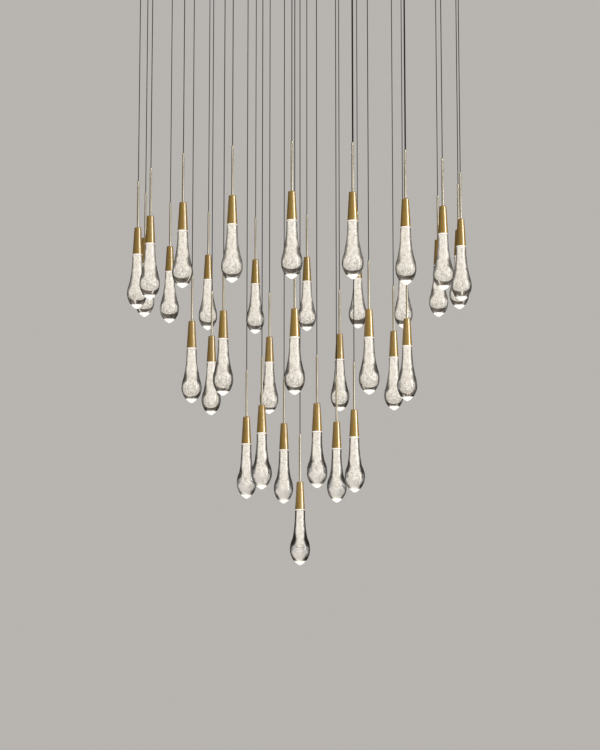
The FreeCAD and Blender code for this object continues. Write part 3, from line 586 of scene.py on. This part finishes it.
def glass_outline(shoulder_arc, neck_arc):
    """A function that gives the drop's radius at a height above its tip, in millimetres.

    From the tip up the outline is a nose, the under and upper arcs of the bulb, a shoulder and the neck.
    """
    under = Vector((BULB_RADIUS - UNDER_ARC, BULB_HEIGHT))
    upper = Vector((BULB_RADIUS - UPPER_ARC, BULB_HEIGHT))
    neck = Vector((NECK_RADIUS + neck_arc, GLASS_LENGTH))
    shoulder = circles_meet(upper, UPPER_ARC + shoulder_arc, neck, neck_arc - shoulder_arc)
    nose = (UNDER_ARC**2 - under.x**2 - under.y**2) / (2 * (UNDER_ARC - under.y))
    nose_end = nose + (Vector((0, nose)) - under).normalized().y * nose
    upper_end = upper.y + (shoulder - upper).normalized().y * UPPER_ARC
    shoulder_end = shoulder.y + (shoulder - neck).normalized().y * shoulder_arc

    def radius(height):
        if height <= nose_end:
            return math.sqrt(max(0, nose**2 - (height - nose) ** 2))
        if height <= BULB_HEIGHT:
            return under.x + math.sqrt(UNDER_ARC**2 - (height - under.y) ** 2)
        if height <= upper_end:
            return upper.x + math.sqrt(UPPER_ARC**2 - (height - upper.y) ** 2)
        if height <= shoulder_end:
            return shoulder.x - math.sqrt(shoulder_arc**2 - (height - shoulder.y) ** 2)
        return neck.x - math.sqrt(neck_arc**2 - (height - neck.y) ** 2)

    return radius


def glass_profile(radius):
    """The drop's outline from its tip up, with close points round the nose, and its spigot on top."""
    profile = [(0, GLASS_TIP)]
    for n in range(1, NOSE_POINTS + 1):
        height = NOSE_HEIGHT * (n / NOSE_POINTS) ** 2
        profile.append((radius(height), GLASS_TIP + height))
    for height in range(NOSE_HEIGHT + OUTLINE_STEP, GLASS_LENGTH - 1, OUTLINE_STEP):
        profile.append((radius(height), GLASS_TIP + height))
    glass_top = GLASS_TIP + GLASS_LENGTH
    profile += [(NECK_RADIUS, glass_top - NECK_EDGE), (NECK_RADIUS - NECK_EDGE, glass_top)]
    return profile + [(SPIGOT_RADIUS, glass_top), (SPIGOT_RADIUS, SPIGOT_HEIGHT), (0, SPIGOT_HEIGHT)]


def part_way(value):
    """The value, kept between 0 and 1."""
    return min(1, max(0, value))


def sunk(point, start, reach):
    """0 down to the start, in millimetres under the cone, and 1 from the reach below the start on."""
    return part_way(-(point.z + start * MM) / (reach * MM))


def uneven_glass(seed, depth, lean):
    """Pulls the surface in here and there and lets the bulb lean a little, as in glass shaped by hand.

    Depth is the share of the radius for the broad dents, and lean is in millimetres. The neck's top stays
    true, so that it fits the light ring.
    """

    def form(point):
        dent = noise.noise(point * DENTS_PER_METRE + Vector((seed * 7.3, 0, 0)))
        ripple = noise.noise(point * RIPPLES_PER_METRE + Vector((0, seed * 5.1, 0)))
        shrink = 1 - depth * part_way(0.5 + 0.9 * dent) - 0.3 * depth * (0.5 + 0.5 * ripple)
        share = 1 + (shrink - 1) * sunk(point, RING_THICKNESS, 30)
        aside = lean * MM * sunk(point, 50, 80)
        return Vector((point.x * share + aside, point.y * share, point.z))

    return form


def above(place, low, high):
    """0 under the low height over the drop's tip and 1 over the high one, both in millimetres."""
    height = place.node("SeparateXYZ", None, {0: place}, "Z")
    return height.steps((GLASS_TIP + low) * MM, (GLASS_TIP + high) * MM)


def cast_glass(name, neck, shoulder, pale, dark):
    """Clear glass with a dark line painted where it is seen edge-on, as painted shade.

    Neck and shoulder make the painted line wider there. It is pale along the drop, and dark at the shoulder
    and under the bulb.
    """
    finish, place = new_finish(name)
    edge_on = place.node("LayerWeight", None, {"Blend": 0.5}, "Facing")
    glass_values = {"Transmission Weight": 1.0, "Roughness": 0.0, "IOR": 1.48}
    clear = place.node("BsdfPrincipled", None, {"Base Color": (0.985, 0.98, 0.97, 1), **glass_values})
    dark_edge_values = {"Transmission Weight": 1.0, "Roughness": 0.0, "IOR": 1.02}
    dark_edge_glass = place.node("BsdfPrincipled", None, {"Base Color": (0.034, 0.026, 0.018, 1), **dark_edge_values})
    above_nose = above(place, 12, 18)
    under = 1 - above(place, 22, 32)
    widest = above(place, 32, 42) - above(place, 54, 64)
    on_shoulder = above(place, 58, 74) - above(place, 98, 125)
    by_hand = place.grain(28.0, 1.5).steps(0.34, 0.66) - 0.5
    edge_line_widening = neck + 0.14 * by_hand + shoulder * on_shoulder + 0.05 * under - 0.12 * widest
    depth = pale + (dark - pale) * (on_shoulder + under) + 0.3 * (1 - pale) * by_hand
    # Painted shade: a dark line where the glass is seen edge-on, wider on the neck and shoulder, darkest at
    # the shoulder and under the bulb.
    painted_edge_shade = depth * (edge_on + edge_line_widening).steps(0.26, 0.52) * edge_on.steps(0.06, 0.24) * above_nose
    coat(place.node("MixShader", None, {0: painted_edge_shade, 1: clear, 2: dark_edge_glass}))
    return finish


# For each ring: how much wider the painted dark line is on the neck and on the shoulder, its pale and its
# dark.
PAINTED_EDGE_LINES = {
    "tier_1": (0.01, 0.09, 0.56, 0.76),
    "tier_2": (0.01, 0.13, 0.60, 0.84),
    "tier_3": (0.04, 0.12, 0.74, 0.88),
    "bottom": (0.09, 0.17, 0.84, 0.96),
}
seeded_glass = {tier: cast_glass(f"{tier}_cast_glass", *lines) for tier, lines in PAINTED_EDGE_LINES.items()}

smooth_outline = glass_outline(shoulder_arc=100, neck_arc=450)
necked_outline = glass_outline(shoulder_arc=40, neck_arc=550)
outlines = {
    "tier_1": smooth_outline,
    "tier_2": smooth_outline,
    "tier_3": necked_outline,
    "bottom": necked_outline,
}
# For each ring: the depth of the dents and the lean.
UNEVEN = {"tier_1": (0.03, 0), "tier_2": (0.035, 1.2), "tier_3": (0.04, 1.3), "bottom": (0.02, 0)}
GLASS_CUTS = 4
QUARTER_TURN = math.pi / 2

glass_meshes = {}
for tier, (depth, lean) in UNEVEN.items():
    profile = glass_profile(outlines[tier])
    for n in range(GLASS_CUTS):
        name = f"{tier}_glass_{n + 1}"
        form = uneven_glass(n + 1, depth, lean)
        glass_meshes[tier, n] = turned_mesh(name, profile, 96, closed=False, form=form)
for count, body in enumerate(sorted(pivots)):
    mesh = glass_meshes[tier_of(body), count % GLASS_CUTS]
    turn = (count + count // 4) * QUARTER_TURN
    finish = seeded_glass[tier_of(body)]
    hang("glass", mesh, body, finish, "bottom_glass_drop", turn)

# Seed columns
# Down the middle of each drop runs a dense column of tiny bubbles, cast into the glass and lit from above,
# which looks like sparkling sugar and ends in a round foot. In the two outer rings it swells with the bulb,
# and in the third ring and the bottom drop it stays slimmer.

seed_column, place = new_finish("seed_column")
sugar = place.node("TexVoronoi", None, {"Vector": place, "Scale": 420.0}, "Distance")
specks = place.grain(800.0, 2.0)
clumps = place.grain(230.0, 2.0)
lumps = place.grain(110.0, 1.0)
in_bulb = 1 - above(place, 60, 110)
low = 1 - above(place, 38, 62)
clustered = clumps.steps(0.34, 0.66)
light = 0.13 + 0.14 * sugar + 0.20 * specks + 0.30 * clustered + 0.14 * lumps.steps(0.36, 0.64)
light = light + 0.18 * in_bulb * (clustered - 0.5)
stops = [
    (0.14, (0.36, 0.325, 0.28)),
    (0.30, (0.56, 0.515, 0.45)),
    (0.50, (0.70, 0.65, 0.572)),
    (0.82, (0.96, 0.913, 0.83)),
]
sparkle = light.node("ValToRGB", {"stops": stops}, {0: light})
# Painted light: the column glows as emission for the light from above. The glow is painted dimmer towards
# its lower end, and in the bulb dimmer towards its sides where it is seen edge-on. The base colour carries
# the same painted shade.
painted_side_shade = place.node("LayerWeight", None, {"Blend": 0.5}, "Facing")
strength = 1.0 - 0.04 * in_bulb - 0.20 * low - 0.18 * painted_side_shade * in_bulb
painted_column_glow = strength.between((0, 0, 0), sparkle)
coat(place.node(
    "BsdfPrincipled",
    None,
    {
        "Base Color": (0.5 * strength).between((0, 0, 0), sparkle),
        "Roughness": 0.35 + 0.3 * specks,
        "Normal": light.raised(0.0006, 0.7),
        "Emission Color": painted_column_glow,
        "Emission Strength": 0.97,
    },
))

COLUMN_RADIUS = 7.9
COLUMN_TOP = GLASS_LENGTH + 3
WIDE_END = 13
SLIM_END = 9
BULB_SHARE = 0.57
LUMPS_PER_METRE = 320
WAVES_PER_METRE = 60
BENDS_PER_METRE = 12


def column_profile(outline, swell, foot):
    """A column in the middle of the neck that widens by this share of the bulb and ends in a round foot.

    The foot is its lowest point, in millimetres above the drop's tip.
    """
    radii = []
    rounding = WIDE_END if swell > 0.5 else SLIM_END
    for height in range(COLUMN_TOP, foot + rounding, -OUTLINE_STEP):
        full = outline(min(height, GLASS_LENGTH)) * BULB_SHARE
        radii.append((COLUMN_RADIUS + (full - COLUMN_RADIUS) * swell, height))
    last, start = radii[-1]
    end = arc((0, 0), 1, 0, 90, 8)[1:]
    radii += [(last * across, start - (start - foot) * down) for across, down in end]
    sides = [(radius, GLASS_TIP + height) for radius, height in radii[:-1]]
    return [(0, GLASS_TIP + COLUMN_TOP)] + sides + [(0, GLASS_TIP + foot)]


def sugary(seed, depth=0.55, sway=2.6):
    """Gives a column a lumpy skin of this depth and a slow bend, both in millimetres."""

    def form(point):
        lump = noise.noise(point * LUMPS_PER_METRE + Vector((seed * 3.7, 0, 0)))
        wave = noise.noise(point * WAVES_PER_METRE + Vector((0, seed * 2.9, 0)))
        side = Vector((point.x, point.y, 0))
        if side.length > 1e-6:
            point = point + side.normalized() * (lump * depth + wave * 2 * depth) * MM
        along = point.z * BENDS_PER_METRE
        bend = [noise.noise(Vector((along, seed * 4.3, n))) * sunk(point, 30, 60) for n in range(2)]
        return point + Vector((bend[0], bend[1], 0)) * sway * MM

    return form


# For each ring, one cut after the other: how far the column swells with the bulb, and where its foot is.
COLUMNS = {
    "tier_1": [(1.0, 34), (0.9, 37), (1.0, 33), (0.95, 35)],
    "tier_2": [(0.95, 29), (0.7, 31), (0.85, 29), (0.8, 30)],
    "tier_3": [(0.25, 44), (0.5, 34), (0.15, 48), (0.35, 40)],
    "bottom": [(0.12, 61)],
}
column_meshes = {}
for tier, kinds in COLUMNS.items():
    for n, (swell, foot) in enumerate(kinds):
        profile = column_profile(outlines[tier], swell, foot)
        name = f"{tier}_seeds_{n + 1}"
        column_meshes[tier, n] = turned_mesh(name, profile, 56, closed=False, form=sugary(n + 1))
for count, body in enumerate(sorted(pivots)):
    mesh = column_meshes[tier_of(body), count % len(COLUMNS[tier_of(body)])]
    turn = count * QUARTER_TURN
    hang("seed_column", mesh, body, seed_column, "bottom_glass_drop", turn)

# Bulb haze
# In the third ring and the bottom drop the bulb is full of far finer bubbles round the column's foot, cast
# into the glass with it. They are thin enough to see through, and turn the bulb milky down to its nose.

bulb_haze, place = new_finish("bulb_haze")
drift = place.grain(45.0, 3.0)
fizz = place.grain(500.0, 2.0)
across = place.node("SeparateXYZ", None, {0: place}, "X")
# Painted shade: the haze thins towards its +X side, the right in the main view, so that side of the bulb
# looks darker. Its milky glow is painted light from above, given as emission.
painted_right_shade = (across + 0.02 * (drift - 0.5)).steps(-14 * MM, 17 * MM)
milk = (0.6 * fizz + 0.5 * drift).between((0.60, 0.565, 0.52), (0.86, 0.83, 0.79))
coat(place.node(
    "BsdfPrincipled",
    None,
    {
        "Base Color": milk,
        "Roughness": 0.7,
        "Alpha": 0.72 - 0.40 * painted_right_shade + 0.5 * (fizz - 0.5),
        "Emission Color": milk,
        "Emission Strength": 0.52,
    },
))

HAZE_FOOT = 19
HAZE_TOP = 59
HAZE_RADIUS = 21.5
HAZE_SHARE = 0.60
HAZE_POINTS = 34

haze_profile = [(0, GLASS_TIP + HAZE_FOOT)]
for n in range(1, HAZE_POINTS):
    angle = math.pi * n / HAZE_POINTS
    height = (HAZE_FOOT + HAZE_TOP) / 2 - (HAZE_TOP - HAZE_FOOT) / 2 * math.cos(angle)
    radius = min(necked_outline(height) * HAZE_SHARE, HAZE_RADIUS * math.sin(angle) ** 0.7)
    haze_profile.append((radius, GLASS_TIP + height))
haze_profile.append((0, GLASS_TIP + HAZE_TOP))
haze_mesh = turned_mesh("necked_haze", haze_profile, 48, closed=False)
for body in sorted(pivots):
    if outlines[tier_of(body)] == necked_outline:
        hang("haze", haze_mesh, body, bulb_haze, "bottom_glass_drop")

# Lit tips
# The nose of each drop, free of bubbles and in one piece with the rest. The light that comes down the
# glass leaves it there, so it shines as a plain white cap.

TIP_HEIGHTS = {"tier_1": 13.5, "tier_2": 13.5, "tier_3": 12, "bottom": 13.5}
TIP_SKIN = 0.6
TIP_GAP = 0.4
TIP_POINTS = 11
FINEST_TIP = 0.2

lit_tip, place = new_finish("lit_tip")
glow = place.grain(90.0, 2.0).between((0.97, 0.93, 0.86), (1.0, 0.985, 0.95))
coat(place.node(
    "BsdfPrincipled",
    None,
    {"Base Color": glow, "Roughness": 0.4, "Emission Color": glow, "Emission Strength": 0.7},
))


def tip_mesh(name, tall):
    """A cap of this height that follows the nose, a skin's thickness inside the glass."""
    profile = [(0, GLASS_TIP + TIP_SKIN)]
    for n in range(1, TIP_POINTS + 1):
        height = tall * (n / TIP_POINTS) ** 2
        radius = max(FINEST_TIP, smooth_outline(height) - TIP_SKIN - TIP_GAP)
        profile.append((radius, GLASS_TIP + TIP_SKIN + height))
    profile.append((0, GLASS_TIP + tall + TIP_SKIN + TIP_GAP))
    return turned_mesh(name, profile, 48, closed=False)


tip_meshes = {tier: tip_mesh(f"{tier}_lit_tip", tall) for tier, tall in TIP_HEIGHTS.items()}
for body in sorted(pivots):
    hang("tip", tip_meshes[tier_of(body)], body, lit_tip, "bottom_glass_drop")

# Loose seeds
# Single larger bubbles that drifted off while the glass was poured. They stand scattered between the
# column and the skin, most of them near the column, and shine like small pearls.

SEED_COUNT = 170
SEED_SMALLEST = 0.25
SEED_LARGEST = 0.6
SEED_LOWEST = 24
SEED_BELOW_TOP = 6
SEED_GAP = 0.6
SEED_SKIN = 2.2
CLEAR_OF_COLUMN = 9.3

seed_pearl, place = new_finish("seed_pearl")
# Painted light: the seeds glow a little as emission, for the light from above that they catch.
pearl = place.grain(1500.0).between((0.70, 0.66, 0.60), (0.98, 0.96, 0.92))
coat(place.node(
    "BsdfPrincipled",
    None,
    {"Base Color": pearl, "Roughness": 0.2, "Emission Color": pearl, "Emission Strength": 0.25},
))

ball_maker = bmesh.new()
bmesh.ops.create_icosphere(ball_maker, subdivisions=1, radius=1)
ball_points = [vert.co.copy() for vert in ball_maker.verts]
ball_faces = [[vert.index for vert in face.verts] for face in ball_maker.faces]
ball_maker.free()


def seed_cloud(name, outline, swell, seed):
    """All the loose bubbles of one drop as one mesh of small balls."""
    points, faces = [], []
    chance = random.Random(seed)
    for _ in range(SEED_COUNT):
        height = chance.uniform(SEED_LOWEST, GLASS_LENGTH - SEED_BELOW_TOP)
        glass = outline(height)
        column = CLEAR_OF_COLUMN + (glass * BULB_SHARE - CLEAR_OF_COLUMN) * swell
        reach = column + SEED_GAP + (glass - column - SEED_SKIN) * chance.random() ** 1.6
        angle = chance.uniform(0, 2 * math.pi)
        centre = Vector((reach * math.sin(angle), reach * math.cos(angle), GLASS_TIP + height)) * MM
        size = chance.uniform(SEED_SMALLEST, SEED_LARGEST) * MM
        faces += [[len(points) + corner for corner in face] for face in ball_faces]
        points += [centre + point * size for point in ball_points]
    mesh = bpy.data.meshes.new(name)
    mesh.from_pydata(points, [], faces)
    mesh.shade_smooth()
    return mesh


cloud_meshes = {}
for tier, kinds in COLUMNS.items():
    for n, (swell, _) in enumerate(kinds):
        name = f"{tier}_loose_seeds_{n + 1}"
        cloud_meshes[tier, n] = seed_cloud(name, outlines[tier], swell, 10 * n + len(tier))
for count, body in enumerate(sorted(pivots)):
    mesh = cloud_meshes[tier_of(body), count % len(COLUMNS[tier_of(body)])]
    turn = count * QUARTER_TURN
    hang("loose_seeds", mesh, body, seed_pearl, "bottom_glass_drop", turn)

# Studio
# A plain pale floor under the hanging chandelier runs out into a plain pale surround. A tall soft lamp is
# at the right, a wide one low in front, and one hangs high in front and one behind. What the brass mirrors
# has a bright upright strip at the right and darker flags at both sides.

PALE = (0.478, 0.458, 0.436)
FLOOR_HEIGHT = -3.3
FLOOR_SIZE = 60
LAMP_AIM = Vector((0, 0, -1.5))

world = bpy.data.worlds.new("studio")
bpy.context.scene.world = world
world.use_nodes = True
world.node_tree.nodes.clear()
sky = Socket(world.node_tree)
seen = sky.node("LightPath", output="Is Camera Ray")
mirrored = sky.node("LightPath", output="Is Glossy Ray")
through = sky.node("LightPath", output="Is Transmission Ray")
direction = sky.node("TexCoord", output="Generated")
height = direction.node("SeparateXYZ", None, {0: direction}, "Z")
unlit = 0.92 * height.steps(0.26, 0.48)
across = direction.node("SeparateXYZ", None, {0: direction}, "X")
depth = direction.node("SeparateXYZ", None, {0: direction}, "Y")
azimuth = across.maths("ARCTAN2", across, -1 * depth)
strip = azimuth.steps(0.65, 0.85) - azimuth.steps(1.25, 1.45)
backdrop = (through * unlit).between(PALE, (0.065, 0.046, 0.028))
backdrop = (mirrored * strip).between(backdrop, (0.468, 0.488, 0.478))
wide = azimuth.steps(0.1, 0.6) - azimuth.steps(1.2, 1.9)
behind = azimuth.steps(2.6, 2.9) + (-1 * azimuth).steps(2.9, 3.14)
left_flag = 1 - azimuth.steps(-2.3, -1.2)
right_flag = azimuth.steps(1.9, 2.4)
gleam = 0.36 + 3.3 * strip + 0.6 * wide + 0.7 * behind - 0.34 * left_flag - 0.2 * right_flag
gleam = gleam * (1 - 0.6 * height.steps(0.45, 0.8))
strength = seen + through + mirrored * gleam + (1 - seen - through - mirrored) * 0.6
ambient = sky.node("Background", None, {"Color": backdrop, "Strength": strength})
end = world.node_tree.nodes.new("ShaderNodeOutputWorld")
world.node_tree.links.new(ambient.socket, end.inputs["Surface"])

pale_floor, place = new_finish("pale_floor")
reach = place.node("VectorMath", {"operation": "LENGTH"}, {0: place.stretched(1, 1, 0)}, "Value")
paper = place.grain(3.0, 3.0).between((0.585, 0.56, 0.53), (0.615, 0.59, 0.56))
matt = place.node("BsdfPrincipled", None, {"Base Color": paper, "Roughness": 0.9})
surround = place.node("Emission", None, {"Color": (*PALE, 1), "Strength": 1.0})
coat(place.node("MixShader", None, {0: 0.62 + 0.38 * reach.steps(1.5, 5.0), 1: matt, 2: surround}))
floor_maker = bmesh.new()
bmesh.ops.create_grid(floor_maker, x_segments=8, y_segments=8, size=FLOOR_SIZE)
floor_mesh = bpy.data.meshes.new("floor_sheet")
floor_maker.to_mesh(floor_mesh)
floor_maker.free()
floor_mesh.materials.append(pale_floor)
floor = bpy.data.objects.new("studio_floor", floor_mesh)
floor.location.z = FLOOR_HEIGHT
bpy.context.scene.collection.objects.link(floor)


def soft_lamp(name, azimuth, distance, height, size, energy, spread):
    """A soft area lamp, this many degrees to the right of the front, that faces the chandelier's middle."""
    lamp = bpy.data.lights.new(name, "AREA")
    lamp.shape = "RECTANGLE"
    lamp.size, lamp.size_y = size
    lamp.energy = energy
    lamp.spread = math.radians(spread)
    angle = math.radians(azimuth)
    stand = bpy.data.objects.new(name, lamp)
    bpy.context.scene.collection.objects.link(stand)
    stand.location = (distance * math.sin(angle), -distance * math.cos(angle), height)
    aim = LAMP_AIM - stand.location
    stand.rotation_euler = aim.to_track_quat("-Z", "Y").to_euler()
    stand.visible_camera = False
    stand.visible_transmission = False


soft_lamp("key_lamp", 66, distance=4.6, height=-1.0, size=(1.0, 3.4), energy=22, spread=100)
soft_lamp("low_lamp", 5, distance=3.2, height=-2.5, size=(3.4, 1.4), energy=15, spread=120)
soft_lamp("front_lamp", -20, distance=4.5, height=3.6, size=(3.0, 2.0), energy=60, spread=170)
soft_lamp("back_lamp", 200, distance=4.5, height=3.6, size=(3.0, 2.0), energy=60, spread=170)

AXIS_DISTANCE = 6.43
CAMERA_AZIMUTH = math.radians(2.65)
CAMERA_HEIGHT = -2.52
CAMERA_PITCH = math.radians(7.56)
CAMERA_LENS = 88.3

eye = bpy.data.cameras.new("main_camera")
eye.lens = CAMERA_LENS
eye.sensor_width = 36
camera = bpy.data.objects.new("main_camera", eye)
bpy.context.scene.collection.objects.link(camera)
aside, ahead = math.sin(CAMERA_AZIMUTH), math.cos(CAMERA_AZIMUTH)
camera.location = (AXIS_DISTANCE * aside, -AXIS_DISTANCE * ahead, CAMERA_HEIGHT)
level = math.cos(CAMERA_PITCH)
gaze = Vector((-aside * level, ahead * level, math.sin(CAMERA_PITCH)))
camera.rotation_euler = gaze.to_track_quat("-Z", "Y").to_euler()
bpy.context.scene.camera = camera
bpy.context.scene.view_settings.view_transform = "Standard"
